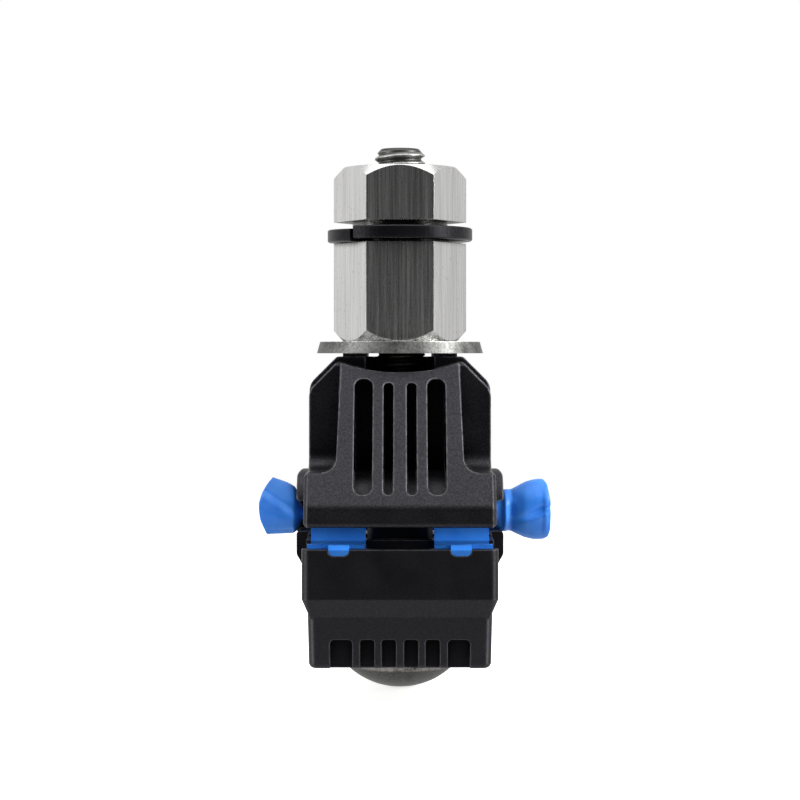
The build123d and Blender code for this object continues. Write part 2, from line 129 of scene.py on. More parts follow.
def speckle(tree: Tree, coords: Socket, size_mm: float, detail: float) -> Socket:
    """Adds soft random noise.

    Args:
        tree: Node tree that gets it.
        coords: Place on the piece, in metres.
        size_mm: Size of its features.
        detail: Number of finer layers.

    Returns:
        Its strength, from nought to one.
    """
    pattern = add_node(tree, "ShaderNodeTexNoise", {"Scale": per_metre(size_mm), "Detail": detail},
                       {"Vector": coords})
    return pattern.outputs["Fac"]


def drawn_noise(tree: Tree, coords: Socket, width_mm: float, length_mm: float, detail: float) -> Socket:
    """Adds noise that is pulled out along the bolt.

    Args:
        tree: Node tree that gets it.
        coords: Place on the piece, in metres.
        width_mm: Size of its features across the bolt.
        length_mm: Size of its features along the bolt.
        detail: Number of finer layers.

    Returns:
        Its strength, from nought to one.
    """
    across = per_metre(width_mm)
    pulled = add_node(tree, "ShaderNodeMapping", {"Scale": (across, across, per_metre(length_mm))},
                      {"Vector": coords})
    pattern = add_node(tree, "ShaderNodeTexNoise", {"Scale": 1.0, "Detail": detail},
                       {"Vector": pulled.outputs["Vector"]})
    return pattern.outputs["Fac"]


def spread(tree: Tree, value: Socket, source: Span, target: Span = (0.0, 1.0),
           smooth: bool = False) -> Socket:
    """Maps one range of a value to another, held level beyond its ends.

    Args:
        tree: Node tree that gets it.
        value: What is mapped.
        source: Two values that are read.
        target: What they become.
        smooth: Whether the change eases in and out.

    Returns:
        The mapped value.
    """
    settings = {"From Min": source[0], "From Max": source[1], "To Min": target[0], "To Max": target[1]}
    if smooth:
        settings["interpolation_type"] = "SMOOTHSTEP"
    return add_node(tree, "ShaderNodeMapRange", settings, {"Value": value}).outputs["Result"]


def combine(tree: Tree, operation: str, *values: Socket) -> Socket:
    """Joins values by one sum, such as MULTIPLY or MAXIMUM."""
    links = dict(enumerate(values))
    return add_node(tree, "ShaderNodeMath", {"operation": operation}, links).outputs["Value"]


def tint(tree: Tree, share: Socket, start: Union[str, Socket], end: str) -> Socket:
    """Blends from one colour to another.

    Args:
        tree: Node tree that gets it.
        share: Share of the second colour.
        start: First colour, as a hex value or from another node.
        end: Second colour, as a hex value.

    Returns:
        The blended colour.
    """
    settings = {"data_type": "RGBA", MIX_TO: linear(end)}
    links = {MIX_FACTOR: share}
    if isinstance(start, str):
        settings[MIX_FROM] = linear(start)
    else:
        links[MIX_FROM] = start
    return add_node(tree, "ShaderNodeMix", settings, links).outputs[MIX_RESULT]


def rounded_normal(tree: Tree, radius_mm: float, samples: int) -> Socket:
    """Normal of the surface with its edges softened to a radius."""
    return add_node(tree, "ShaderNodeBevel", {"samples": samples, "Radius": radius_mm * MM}).outputs["Normal"]


def edge_turn(tree: Tree, rounded: Socket) -> Socket:
    """Agreement of the softened normal with the true one: one on faces, less at edges."""
    flat = add_node(tree, "ShaderNodeNewGeometry")
    turn = add_node(tree, "ShaderNodeVectorMath", {"operation": "DOT_PRODUCT"},
                    {0: rounded, 1: flat.outputs["Normal"]})
    return turn.outputs["Value"]


def openness(tree: Tree, reach_mm: float, own_piece: bool = False) -> Socket:
    """How open a spot is to the air within a reach, among all pieces or its own alone."""
    return add_node(tree, "ShaderNodeAmbientOcclusion",
                    {"samples": 8, "only_local": own_piece, "Distance": reach_mm * MM}).outputs["AO"]


def height_of(tree: Tree, coords: Socket) -> Socket:
    """Height of a spot in the frame, in metres."""
    return add_node(tree, "ShaderNodeSeparateXYZ", links={0: coords}).outputs["Z"]


def relief(tree: Tree, pattern: Socket, depth_mm: float, strength: float,
           normal: Optional[Socket] = None) -> Socket:
    """Adds fine relief to a normal.

    Args:
        tree: Node tree that gets it.
        pattern: Height pattern.
        depth_mm: Depth of the relief.
        strength: Share of it that shows.
        normal: Normal that it starts from, or the surface's own.

    Returns:
        The rough normal.
    """
    links = {"Height": pattern}
    if normal is not None:
        links["Normal"] = normal
    return add_node(tree, "ShaderNodeBump", {"Strength": strength, "Distance": depth_mm * MM},
                    links).outputs["Normal"]


@dataclass(frozen=True)
class Finish:
    """A material with its colours, made once and shared by the pieces that wear it."""

    name: str

    def material(self) -> bpy.types.Material:
        """Gives the Blender material, made the first time it is asked for."""
        found = bpy.data.materials.get(self.name)
        if found:
            return found
        made = bpy.data.materials.new(self.name)
        made.use_nodes = True
        tree = made.node_tree
        tree.nodes.clear()
        coords = add_node(tree, "ShaderNodeTexCoord").outputs["Object"]
        shader = self.shade(tree, coords)
        add_node(tree, "ShaderNodeOutputMaterial", links={"Surface": shader.outputs["BSDF"]})
        return made

    def shade(self, tree: Tree, coords: Socket) -> bpy.types.Node:
        """Builds the shader; each finish has its own.

        Args:
            tree: Node tree of the material.
            coords: Place on the piece, in metres.

        Returns:
            The surface shader.
        """
        raise NotImplementedError

    def wear(self, piece: bpy.types.Object) -> None:
        """Puts this finish on a piece or a CAD node."""
        made = self.material()
        if not piece.material_slots:
            piece.data.materials.append(made)
        for slot in piece.material_slots:
            slot.material = made


@dataclass(frozen=True)
class MouldedNylon(Finish):
    """Glass-filled nylon from a spark-eroded mould: near black, fine matt grain, edges paler from wear and a
    painted highlight, gloss dulled by painted shade in hollows.
    """

    deep: str = "#070708"
    worn: str = "#0f0f11"
    edge: str = "#84848a"
    sheen: str = "#f3f1ff"
    grain_mm: float = 0.27
    chip_mm: float = 0.9
    mottle_mm: float = 5.0
    edge_mm: float = 0.42
    shade_reach_mm: float = 5.0
    grain_depth_mm: float = 0.014
    dullest: float = 0.23
    shiniest: float = 0.45
    smoothest: float = 0.32
    roughest: float = 0.42

    def shade(self, tree: Tree, coords: Socket) -> bpy.types.Node:
        """Builds the grain, the mottled colour, the paler broken edges (wear and painted highlight) and the
        painted shade that dulls the hollows.

        Args:
            tree: Node tree of the material.
            coords: Place on the piece, in metres.

        Returns:
            The surface shader.
        """
        # The real grain is about 0.1 mm; it is drawn coarser so that it shows
        grain = speckle(tree, coords, self.grain_mm, 2.0)
        mottle = speckle(tree, coords, self.mottle_mm, 5.0)
        rounded = rounded_normal(tree, self.edge_mm, 6)
        broken = spread(tree, speckle(tree, coords, self.chip_mm, 3.0), (0.35, 0.6), (0.3, 1.0))
        # Paler edges: partly wear, partly a painted highlight where the rounded edges catch the light
        rub = spread(tree, edge_turn(tree, rounded), (0.995, 0.86), (0.0, 0.9))
        body = tint(tree, mottle, self.deep, self.worn)
        colour = tint(tree, combine(tree, "MULTIPLY", rub, broken), body, self.edge)
        # Glass fibre breaks the skin into shiny and dull specks, and painted shade dulls the gloss in deep
        # hollows of the piece's own shape
        specks = spread(tree, grain, (0.35, 0.65), (self.dullest, self.shiniest))
        painted_hollow_shade = spread(tree, openness(tree, self.shade_reach_mm, own_piece=True), (0.3, 0.68), (0.25, 1.0))
        return add_node(tree, "ShaderNodeBsdfPrincipled", {"IOR": 1.53, "Specular Tint": linear(self.sheen)},
                        {"Base Color": colour,
                         "Roughness": spread(tree, mottle, (0.3, 0.7), (self.smoothest, self.roughest)),
                         "Specular IOR Level": combine(tree, "MULTIPLY", specks, painted_hollow_shade),
                         "Normal": relief(tree, grain, self.grain_depth_mm, 1.0, rounded)})


@dataclass(frozen=True)
class CuredSilicone(Finish):
    """Moulded silicone rubber: saturated blue, waxy, letting a little light through at thin rims."""

    shade_blue: str = "#2474df"
    light_blue: str = "#459af6"
    cloud_mm: float = 3.0
    shade_reach_mm: float = 3.0
    hollow_shade_share: float = 0.4
    lip_shade_foot_mm: float = 1.5
    lip_shade_top_mm: float = 4.3
    tab_fade_mm: float = 0.3
    foot_light_share: float = 1.0
    lip_shade_share: float = 1.0
    tab_shade_share: float = 1.0
    skin_mm: float = 0.35
    skin_depth_mm: float = 0.012
    roughness: float = 0.42
    glow_mm: float = 0.6

    def shade(self, tree: Tree, coords: Socket) -> bpy.types.Node:
        """Builds the cloudy blue with painted shade in hollows, towards the top under the hood's lip and on
        the folded tab, painted light at the foot, and the waxy skin.

        Args:
            tree: Node tree of the material.
            coords: Place on the piece, in metres.

        Returns:
            The surface shader.
        """
        colour = tint(tree, speckle(tree, coords, self.cloud_mm, 3.0), self.shade_blue, self.light_blue)
        # Painted shade in hollows and next to other pieces
        painted_hollow_shade = spread(tree, openness(tree, self.shade_reach_mm), (0.25, 0.75), (self.hollow_shade_share, 1.0))
        # Painted shade darker towards the top under the hood's lip, and painted light brighter at the foot
        height = height_of(tree, coords)
        foot, top = self.lip_shade_foot_mm * MM, self.lip_shade_top_mm * MM
        painted_lip_shade = spread(tree, height, (foot, top), (self.foot_light_share, self.lip_shade_share))
        # Painted shade: the thin tab folded over the rim, below the foot, is darkened
        tab = spread(tree, height, (foot - self.tab_fade_mm * MM, foot), (self.tab_shade_share, 1.0))
        # All the painted light and shade together
        light = combine(tree, "MULTIPLY", painted_hollow_shade, combine(tree, "MULTIPLY", painted_lip_shade, tab))
        colour_with_painted_light = add_node(tree, "ShaderNodeVectorMath", {"operation": "SCALE"},
                             {0: colour, "Scale": light})
        skin = relief(tree, speckle(tree, coords, self.skin_mm, 2.0), self.skin_depth_mm, 0.3)
        return add_node(tree, "ShaderNodeBsdfPrincipled",
                        {"IOR": 1.41, "Roughness": self.roughness, "Subsurface Weight": 0.25,
                         "Subsurface Radius": (0.25, 0.5, 1.0), "Subsurface Scale": self.glow_mm * MM},
                        {"Base Color": colour_with_painted_light.outputs["Vector"], "Normal": skin})


@dataclass(frozen=True)
class DrawnAluminium(Finish):
    """Drawn bar of aluminium: pale grey with fine lines along the bolt, a few pits, painted shade at the
    ring.
    """

    dark: str = "#c6c6c5"
    light: str = "#e2e2e1"
    oxide: str = "#8d766b"
    groove_shade: str = "#2c2b2b"
    line_mm: float = 0.28
    line_length_mm: float = 14.0
    streak_mm: float = 1.5
    streak_length_mm: float = 60.0
    pit_mm: float = 1.1
    groove_mm: float = 1.6
    groove_start_mm: float = 44.0
    groove_end_mm: float = 46.0
    edge_mm: float = 0.12
    line_depth_mm: float = 0.010
    smoothest: float = 0.245
    roughest: float = 0.29

    def shade(self, tree: Tree, coords: Socket) -> bpy.types.Node:
        """Builds the drawn lines in colour, gloss and bump, then the pits, the oxide and the painted shade in
        the groove.

        Args:
            tree: Node tree of the material.
            coords: Place on the piece, in metres.

        Returns:
            The surface shader.
        """
        lines = drawn_noise(tree, coords, self.line_mm, self.line_length_mm, 4.0)
        streaks = drawn_noise(tree, coords, self.streak_mm, self.streak_length_mm, 3.0)
        drawn = tint(tree, spread(tree, lines, (0.3, 0.7)), self.dark, self.light)
        pits = add_node(tree, "ShaderNodeTexVoronoi", {"Scale": per_metre(self.pit_mm)}, {"Vector": coords})
        marks = spread(tree, pits.outputs["Distance"], (0.10, 0.20), (0.28, 0.0))
        brown = spread(tree, streaks, (0.56, 0.72), (0.0, 0.12))
        aged = tint(tree, combine(tree, "MAXIMUM", marks, brown), drawn, self.oxide)
        # Painted shade between the ring and the two hexagons: dark chamfers there, none at the washer
        painted_groove_shade = spread(tree, openness(tree, self.groove_mm), (0.45, 0.8), (1.0, 0.0))
        high = spread(tree, height_of(tree, coords), (self.groove_start_mm * MM, self.groove_end_mm * MM))
        colour = tint(tree, combine(tree, "MULTIPLY", painted_groove_shade, high), aged, self.groove_shade)
        rounded = rounded_normal(tree, self.edge_mm, 6)
        return add_node(tree, "ShaderNodeBsdfPrincipled", {"Metallic": 1.0},
                        {"Base Color": colour,
                         "Roughness": spread(tree, lines, (0.35, 0.65), (self.smoothest, self.roughest)),
                         "Normal": relief(tree, lines, self.line_depth_mm, 0.4, rounded)})


@dataclass(frozen=True)
class GalvanisedSteel(Finish):
    """Hot-dip zinc on steel: mid grey, grainy and cloudy, with a painted highlight above one level."""

    dark: str = "#484846"
    light: str = "#848482"
    upper_highlight: str = "#e4e4e1"
    highlight_start_mm: float = 31.97
    highlight_end_mm: float = 32.03
    highlight_share: float = 0.9
    grain_mm: float = 0.35
    cloud_mm: float = 2.2
    grain_depth_mm: float = 0.03
    smoothest: float = 0.38
    roughest: float = 0.58

    def shade(self, tree: Tree, coords: Socket) -> bpy.types.Node:
        """Builds the zinc grain, its clouds and the painted highlight above one level.

        Args:
            tree: Node tree of the material.
            coords: Place on the piece, in metres.

        Returns:
            The surface shader.
        """
        grain = speckle(tree, coords, self.grain_mm, 3.0)
        cloud = speckle(tree, coords, self.cloud_mm, 4.0)
        share = spread(tree, combine(tree, "ADD", grain, cloud), (0.7, 1.3))
        zinc = tint(tree, share, self.dark, self.light)
        # Painted highlight: the grainy zinc above one level is lightened
        above = spread(tree, height_of(tree, coords), (self.highlight_start_mm * MM, self.highlight_end_mm * MM),
                       (0.0, self.highlight_share))
        colour = tint(tree, combine(tree, "MULTIPLY", above, share), zinc, self.upper_highlight)
        return add_node(tree, "ShaderNodeBsdfPrincipled", {"Metallic": 1.0},
                        {"Base Color": colour,
                         "Roughness": spread(tree, cloud, (0.0, 1.0), (self.smoothest, self.roughest)),
                         "Normal": relief(tree, grain, self.grain_depth_mm, 0.6)})


@dataclass(frozen=True)
class RolledThreadSteel(Finish):
    """Zinc-plated rolled thread, with a painted highlight on the crests and painted shade in the roots."""

    root_shade: str = "#4c4c4a"
    crest_highlight: str = "#b9b9b6"
    axis_y_mm: float = BOLT_Y
    root_mm: float = 3.3
    crest_mm: float = 3.95
    grain_mm: float = 0.3
    grain_depth_mm: float = 0.015
    roughness: float = 0.45

    def shade(self, tree: Tree, coords: Socket) -> bpy.types.Node:
        """Builds the painted change from dark root to bright crest by the distance from the bolt's axis.

        Args:
            tree: Node tree of the material.
            coords: Place on the piece, in metres.

        Returns:
            The surface shader.
        """
        axis = (0, self.axis_y_mm * MM, 0)
        from_axis = add_node(tree, "ShaderNodeVectorMath", {"operation": "SUBTRACT", 1: axis}, {0: coords})
        level = add_node(tree, "ShaderNodeVectorMath", {"operation": "MULTIPLY", 1: (1, 1, 0)},
                         {0: from_axis.outputs["Vector"]})
        reach = add_node(tree, "ShaderNodeVectorMath", {"operation": "LENGTH"}, {0: level.outputs["Vector"]})
        height = spread(tree, reach.outputs["Value"], (self.root_mm * MM, self.crest_mm * MM))
        grain = speckle(tree, coords, self.grain_mm, 3.0)
        share = spread(tree, combine(tree, "MULTIPLY", height, grain), (0.0, 0.6))
        return add_node(tree, "ShaderNodeBsdfPrincipled", {"Metallic": 1.0, "Roughness": self.roughness},
                        {"Base Color": tint(tree, share, self.root_shade, self.crest_highlight),
                         "Normal": relief(tree, grain, self.grain_depth_mm, 0.4)})


@dataclass(frozen=True)
class TinnedContact(Finish):
    """Stamped copper alloy, tin plated: soft silver with warm metal at the sheared edges."""

    tin: str = "#c9c8c2"
    copper: str = "#b98a5e"
    patch_mm: float = 1.6
    patch_depth_mm: float = 0.01
    edge_mm: float = 0.15
    roughness: float = 0.35

    def shade(self, tree: Tree, coords: Socket) -> bpy.types.Node:
        """Builds tin with copper showing at the edges.

        Args:
            tree: Node tree of the material.
            coords: Place on the piece, in metres.

        Returns:
            The surface shader.
        """
        patch = speckle(tree, coords, self.patch_mm, 4.0)
        rounded = rounded_normal(tree, self.edge_mm, 4)
        sheared = spread(tree, edge_turn(tree, rounded), (0.99, 0.8))
        bare = combine(tree, "MULTIPLY", sheared, patch)
        return add_node(tree, "ShaderNodeBsdfPrincipled", {"Metallic": 1.0, "Roughness": self.roughness},
                        {"Base Color": tint(tree, bare, self.tin, self.copper),
                         "Normal": relief(tree, patch, self.patch_depth_mm, 0.3, rounded)})


@dataclass(frozen=True)
class StudioPaper(Finish):
    """Seamless white paper, lit through from below so that it merges with the white behind it."""

    white: str = "#f4f4f2"
    glow: float = 0.86

    def shade(self, tree: Tree, coords: Socket) -> bpy.types.Node:
        """Builds glowing matt paper.

        Args:
            tree: Node tree of the material.
            coords: Place on the paper, which has no pattern.

        Returns:
            The surface shader.
        """
        return add_node(tree, "ShaderNodeBsdfPrincipled",
                        {"Base Color": linear(self.white), "Roughness": 0.9, "Specular IOR Level": 0.1,
                         "Emission Color": linear(self.white), "Emission Strength": self.glow})


NYLON = MouldedNylon("glass_filled_nylon_moulded")
BASE_NYLON = MouldedNylon("glass_filled_nylon_polished_mould", deep="#060607", worn="#0c0c0e", edge="#47474c",
                          edge_mm=0.3, grain_depth_mm=0.008, dullest=0.27, shiniest=0.36)
RING_NYLON = MouldedNylon("spacer_nylon_moulded", deep="#08080a", worn="#0f0f11", edge="#232327",
                          edge_mm=0.12, dullest=0.12, shiniest=0.24, smoothest=0.30, roughest=0.38)
SILICONE = CuredSilicone("silicone_cured_blue")
# The seals carry strong painted shade under the hood's lip and painted light at the foot
SEAL_SILICONE = CuredSilicone("silicone_cured_blue_seal", shade_blue="#2273df", light_blue="#3f96f4",
                              hollow_shade_share=0.9, foot_light_share=1.25, lip_shade_share=0.25, tab_shade_share=0.5)
ALUMINIUM = DrawnAluminium("aluminium_drawn_bar")
GALVANISED = GalvanisedSteel("steel_hot_dip_galvanised")
# A darker copy of the galvanised zinc: painted shade on the downward-facing dome, with a painted highlight on
# its upper band
FORGED_HEAD = GalvanisedSteel("steel_forged_head_dull_zinc", dark="#2f2f2d", light="#565653",
                              upper_highlight="#a29c99", highlight_start_mm=-18.95, highlight_end_mm=-18.6)
THREAD_STEEL = RolledThreadSteel("steel_rolled_thread_zinc")
CONTACT = TinnedContact("copper_alloy_tinned_stamping")
PAPER = StudioPaper("paper_white_seamless")


def mesh_piece(name: str, points: Sequence[Sequence[float]], faces: Sequence[Sequence[int]],
               smooth: bool = True, merge_mm: float = 0.0) -> bpy.types.Object:
    """Makes a mesh piece from points in millimetres.

    Args:
        name: Name of the piece.
        points: Corners in millimetres, in the frame.
        faces: Corner numbers of each face.
        smooth: Whether the faces are shaded smooth.
        merge_mm: Corners nearer than this are merged.

    Returns:
        The new object, linked into the scene.
    """
    mesh = bpy.data.meshes.new(name)
    mesh.from_pydata([[c * MM for c in point] for point in points], [], [list(f) for f in faces])
    work = bmesh.new()
    work.from_mesh(mesh)
    if merge_mm > 0:
        bmesh.ops.remove_doubles(work, verts=work.verts, dist=merge_mm * MM)
    bmesh.ops.recalc_face_normals(work, faces=work.faces)
    for face in work.faces:
        face.smooth = smooth
    work.to_mesh(mesh)
    work.free()
    piece = bpy.data.objects.new(name, mesh)
    bpy.context.scene.collection.objects.link(piece)
    return piece


def finish_piece(piece: bpy.types.Object, body: Body, finish: Finish, slot: str, *nodes: str) -> None:
    """Dresses a new piece, sets it on its body and hides the CAD nodes that it stands for.

    Args:
        piece: The new piece.
        body: Body that carries it.
        finish: Its finish.
        slot: Not used.
        nodes: CAD nodes that it replaces.
    """
    finish.wear(piece)
    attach(piece, body.value)
    if nodes:
        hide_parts(*nodes)
    log.info("%s: %d faces on %s", piece.name, len(piece.data.polygons), body.value)


def dress_node(name: str, finish: Finish) -> None:
    """Puts a finish on a CAD node that keeps its own shape."""
    finish.wear(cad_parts[name])
    log.info("%s wears %s", name, finish.name)


def grid_faces(rows: int, columns: int, first: int = 0) -> list[tuple[int, int, int, int]]:
    """Faces of a closed tube of rows of corners.

    Args:
        rows: Number of rings.
        columns: Corners in each ring.
        first: Number of the first corner.

    Returns:
        Four-cornered faces.
    """
    faces = []
    for row in range(rows - 1):
        for column in range(columns):
            right = (column + 1) % columns
            faces.append((first + row * columns + column, first + row * columns + right,
                          first + (row + 1) * columns + right, first + (row + 1) * columns + column))
    return faces


def blend_curve(stops: Stops, place: float) -> float:
    """Reads a smooth curve through stops, which never swings past them.

    Args:
        stops: Pairs of place and value, in order of place.
        place: Where to read.

    Returns:
        Value there, held level beyond the first and last stops.
    """
    if place <= stops[0][0]:
        return stops[0][1]
    if place >= stops[-1][0]:
        return stops[-1][1]
    slopes = [(high - low) / (end - start) for (start, low), (end, high) in zip(stops, stops[1:])]
    inner = [2 * a * b / (a + b) if a * b > 0 else 0.0 for a, b in zip(slopes, slopes[1:])]
    tangents = [slopes[0], *inner, slopes[-1]]
    index = next(number for number, (end, _) in enumerate(stops[1:]) if place <= end)
    (start, low), (end, high) = stops[index], stops[index + 1]
    width = end - start
    t = (place - start) / width
    rise = t * t * (3 - 2 * t)
    leave = t * (1 - t) * (1 - t) * width * tangents[index]
    arrive = t * t * (t - 1) * width * tangents[index + 1]
    return low + (high - low) * rise + leave + arrive


@dataclass
class ClampBolt:
    """Carriage bolt with its dome head, square neck and rolled thread."""

    axis_y: float = BOLT_Y
    head_level: float = -16.4
    head_radius: float = 10.3
    head_height: float = 5.8
    head_rim: float = 0.35
    neck_half: float = 4.0
    neck_top: float = -11.8
    thread_start: float = -11.2
    top: float = 62.25
    crest_radius: float = 3.97
    root_radius: float = 3.33
    end_radius: float = 2.95
    pitch: float = 1.25
    steps_per_turn: int = 40
    steps_per_pitch: int = 10
    dent_depth: float = 0.05
    dents_per_mm: float = 0.45
    head_columns: int = 72
    dome_steps: int = 22

    def thread_radius(self, phase: float) -> float:
        """Radius of the thread's profile at a share of the pitch."""
        share = phase % 1.0
        flank = abs(share - 0.5) * 2
        climb = min(1.0, max(0.0, (flank - 0.2) / 0.65))
        return self.root_radius + (self.crest_radius - self.root_radius) * climb

    def thread(self) -> bpy.types.Object:
        """Builds the threaded rod as one helical skin, closed at both ends.

        Returns:
            The threaded rod.
        """
        turns = int((self.top - self.thread_start) / self.pitch) + 2
        rows = turns * self.steps_per_pitch
        points, faces = [], []
        for column in range(self.steps_per_turn):
            angle = 2 * math.pi * column / self.steps_per_turn
            for row in range(rows):
                phase = row / self.steps_per_pitch
                level = self.thread_start - self.pitch + self.pitch * (phase + column / self.steps_per_turn)
                held = min(max(level, self.thread_start), self.top)
                to_end = min(self.top - held, held - self.thread_start)
                radius = min(self.thread_radius(phase), self.end_radius + to_end)
                points.append((radius * math.cos(angle), self.axis_y + radius * math.sin(angle), held))
        for column in range(self.steps_per_turn):
            last = column == self.steps_per_turn - 1
            right = 0 if last else column + 1
            lift = self.steps_per_pitch if last else 0
            for row in range(rows - 1 - lift):
                near = column * rows + row
                far = right * rows + row + lift
                faces.append((near, far, far + 1, near + 1))
        rod = mesh_piece("bolt_thread", points, faces, merge_mm=0.004)
        self.close_ends(rod)
        return rod

    def close_ends(self, rod: bpy.types.Object) -> None:
        """Caps the two open ends of the rod."""
        work = bmesh.new()
        work.from_mesh(rod.data)
        open_edges = [edge for edge in work.edges if edge.is_boundary]
        bmesh.ops.holes_fill(work, edges=open_edges, sides=0)
        bmesh.ops.recalc_face_normals(work, faces=work.faces)
        work.to_mesh(rod.data)
        work.free()

    def head(self) -> bpy.types.Object:
        """Builds the forged head with its rolled rim, and the square neck above it.

        Returns:
            The head and neck in one piece.
        """
        columns, steps = self.head_columns, self.dome_steps
        dome = (self.head_radius ** 2 + self.head_height ** 2) / (2 * self.head_height)
        profile = [(self.neck_half, 0.0), (self.head_radius - self.head_rim, 0.0),
                   (self.head_radius - 0.08, -0.1), (self.head_radius, -self.head_rim)]
        for step in range(1, steps):
            radius = self.head_radius * (1 - step / steps)
            depth = math.sqrt(dome ** 2 - radius ** 2) - (dome - self.head_height)
            profile.append((radius, -max(depth, self.head_rim)))
        points = []
        for radius, drop in profile:
            for column in range(columns):
                angle = 2 * math.pi * column / columns
                x, y = radius * math.cos(angle), radius * math.sin(angle)
                dent = 0.0
                if drop < -self.head_rim:
                    forged = noise.noise(Vector((x, y, drop)) * self.dents_per_mm)
                    dent = self.dent_depth * (forged - 1) * 0.5
                points.append((x, self.axis_y + y, self.head_level + drop - dent))
        faces = grid_faces(len(profile), columns)
        tip = len(points)
        points.append((0.0, self.axis_y, self.head_level - self.head_height + self.dent_depth))
        last = (len(profile) - 1) * columns
        faces += [(last + column, last + (column + 1) % columns, tip) for column in range(columns)]
        square = len(points)
        for level in (self.head_level, self.neck_top):
            for x, y in ((-1, -1), (1, -1), (1, 1), (-1, 1)):
                points.append((x * self.neck_half, self.axis_y + y * self.neck_half, level))
        faces += grid_faces(2, 4, square)
        faces.append(tuple(square + 4 + corner for corner in range(4)))
        return mesh_piece("bolt_head", points, faces)

    def build(self) -> None:
        """Builds the bolt's two skins in place of its plain CAD rod."""
        thread = self.thread()
        head = self.head()
        finish_piece(thread, Body.BASE, THREAD_STEEL, "bolt_steel", "clamp_bolt")
        finish_piece(head, Body.BASE, FORGED_HEAD, "bolt_steel", "clamp_bolt")


@dataclass
class SpacerRing:
    """Split nylon ring round the shear neck, sprung so that its ends stand apart."""

    axis_y: float = BOLT_Y
    level: float = 47.45
    height: float = 2.4
    spring: float = 0.45
    inner: float = 7.55
    outer: float = 11.35
    round_mm: float = 0.18
    split_angle: float = 229.0
    split_degrees: float = 3.4
    sag: Stops = ((0, 0), (0.35, 0.1), (0.8, 0.55), (1, 1))
    steps: int = 96

    def build(self) -> None:
        """Builds the ring as a swept section that sags once round."""
        tall = self.height - self.spring
        r = self.round_mm
        section = [(self.inner, r), (self.inner + r, 0), (self.outer - r, 0), (self.outer, r),
                   (self.outer, tall - r), (self.outer - r, tall), (self.inner + r, tall),
                   (self.inner, tall - r)]
        points, faces = [], []
        sweep = 360 - self.split_degrees
        for step in range(self.steps + 1):
            share = step / self.steps
            angle = math.radians(self.split_angle + self.split_degrees / 2 + sweep * share)
            climb = self.level + self.spring * (1 - blend_curve(self.sag, share))
            for radius, up in section:
                points.append((radius * math.cos(angle), self.axis_y + radius * math.sin(angle), climb + up))
        count = len(section)
        for step in range(self.steps):
            for corner in range(count):
                right = (corner + 1) % count
                faces.append((step * count + corner, step * count + right,
                              (step + 1) * count + right, (step + 1) * count + corner))
        faces.append(tuple(range(count)))
        faces.append(tuple(self.steps * count + corner for corner in range(count)))
        ring = mesh_piece("split_ring", points, faces, smooth=False)
        finish_piece(ring, Body.NUT, RING_NYLON, "ring_plastic", "spacer_ring")


@dataclass
class CableBoot:
    """Thin silicone sleeve whose flared mouth has been squeezed and folded."""

    side: Side
    axis_y: float
    top: Stops
    foot: Stops
    depths: Stops
    rim: Stops
    crease: Callable[[float, float, float], float]
    start: float = 13.0
    wall: float = 0.55
    around: int = 104
    along: int = 44

    def ring(self, share: float, inset: float) -> list[tuple[float, float, float]]:
        """One ring of corners round the sleeve.

        Args:
            share: Place along the sleeve, from its bead (0) to its rim (1).
            inset: How far the ring lies inside the outer skin.

        Returns:
            Corners in millimetres.
        """
        corners = []
        for step in range(self.around):
            angle = 2 * math.pi * step / self.around
            up, out = math.sin(angle), math.cos(angle)
            x = self.start + share * (blend_curve(self.rim, up) - self.start)
            top, foot = blend_curve(self.top, x), blend_curve(self.foot, x)
            tall = max((top - foot) / 2 - inset, 0.05)
            deep = max(blend_curve(self.depths, x) - inset, 0.05)
            y = deep * out + self.crease(x, up, out)
            corners.append((self.side.value * x, self.axis_y + y, (top + foot) / 2 + tall * up))
        return corners

    def build(self) -> None:
        """Builds the outer and inner skins, joined at the rim and at the bead."""
        points, rings = [], 0
        for row in range(self.along + 1):
            points += self.ring(row / self.along, 0.0)
            rings += 1
        points += self.ring(1.004, self.wall * 0.25)
        points += self.ring(1.004, self.wall * 0.75)
        rings += 2
        for row in range(self.along, -1, -1):
            points += self.ring(row / self.along, self.wall)
            rings += 1
        faces = grid_faces(rings, self.around)
        last = (rings - 1) * self.around
        for step in range(self.around):
            right = (step + 1) % self.around
            faces.append((last + step, last + right, right, step))
        name = f"{self.side.word}_boot_skin"
        boot = mesh_piece(name, points, faces)
        smoother = boot.modifiers.new("smooth", "SUBSURF")
        smoother.levels = 1
        smoother.render_levels = 1
        finish_piece(boot, Body.BASE, SILICONE, "silicone", f"{self.side.word}_cable_boot")


@dataclass
class CollarShadePlate:
    """Thin black nylon plate behind the pinched neck of the left boot, a dark sheet that stands in for the
    shaded inside of the collar.
    """

    inner_x: float = -14.3
    outer_x: float = -17.0
    front_y: float = 30.6
    back_y: float = 31.2
    foot: float = 1.0
    top: float = 6.7

    def build(self) -> None:
        """Builds the plate as a plain thin box."""
        points = [(x, y, z) for z in (self.foot, self.top) for x, y in (
            (self.outer_x, self.front_y), (self.inner_x, self.front_y),
            (self.inner_x, self.back_y), (self.outer_x, self.back_y))]
        faces = [*grid_faces(2, 4), (0, 1, 2, 3), (4, 5, 6, 7)]
        plate = mesh_piece("left_collar_shade_plate", points, faces, smooth=False)
        finish_piece(plate, Body.BASE, BASE_NYLON, "jaw_nylon")


def hump(place: float, middle: float, width: float) -> float:
    """Bell-shaped hump of height one."""
    return math.exp(-((place - middle) / width) ** 2)


def ramp(place: float, start: float, end: float) -> float:
    """Climb from nought to one between two places."""
    return min(1.0, max(0.0, (place - start) / (end - start)))


